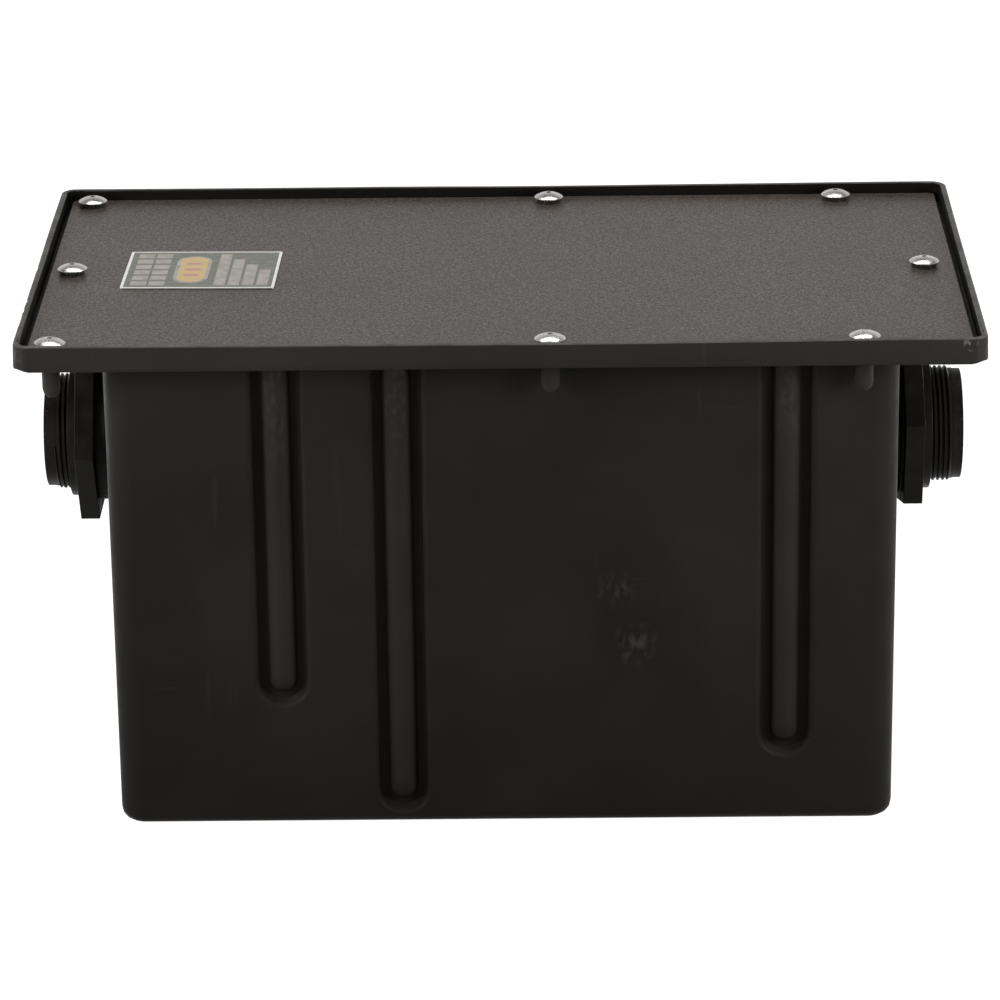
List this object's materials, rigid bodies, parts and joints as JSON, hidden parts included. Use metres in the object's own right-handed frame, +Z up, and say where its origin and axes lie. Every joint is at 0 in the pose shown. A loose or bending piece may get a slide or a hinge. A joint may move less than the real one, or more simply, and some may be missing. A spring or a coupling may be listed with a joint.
{
  "type": "grease trap",
  "caption": "Under-sink grease trap: a moulded tank with an outward rim, a sunk screwed cover, baffle channels in its long walls and a threaded fitting in each end.",
  "frame": {"origin": "on the floor that the tank stands on, below the middle of the rim", "axes": "+X along the tank from inlet to outlet, -Y to the front, +Z up"},
  "size_m": [0.64, 0.372, 0.3563],
  "materials": {
    "tank_plastic": "black moulded polyethylene, satin with a faint orange-peel",
    "cover": "grey-brown, fine sandy grain",
    "gasket": "soft closed-cell rubber",
    "screw_steel": "bright stainless",
    "insert_brass": "turned",
    "baffle_sheet": "smooth sheet",
    "fitting_plastic": "black injection moulded, slight gloss",
    "nameplate": "thin printed foil, satin"
  },
  "bodies": {
    "root": {"cover_gasket": "gasket", "cover_plate": "cover", "cover_screw_1": "screw_steel", "cover_screw_2": "screw_steel", "cover_screw_3": "screw_steel", "cover_screw_4": "screw_steel", "cover_screw_5": "screw_steel", "cover_screw_6": "screw_steel", "cover_screw_7": "screw_steel", "cover_screw_8": "screw_steel", "inlet_baffle": "baffle_sheet", "inlet_fitting": "fitting_plastic", "inlet_gasket": "gasket", "inlet_nut": "fitting_plastic", "inlet_washer": "gasket", "nameplate": "nameplate", "outlet_baffle": "baffle_sheet", "outlet_fitting": "fitting_plastic", "outlet_gasket": "gasket", "outlet_nut": "fitting_plastic", "outlet_washer": "gasket", "screw_insert_1": "insert_brass", "screw_insert_2": "insert_brass", "screw_insert_3": "insert_brass", "screw_insert_4": "insert_brass", "screw_insert_5": "insert_brass", "screw_insert_6": "insert_brass", "screw_insert_7": "insert_brass", "screw_insert_8": "insert_brass", "tank": "tank_plastic", "weir_baffle": "baffle_sheet"}
  },
  "joints": []
}
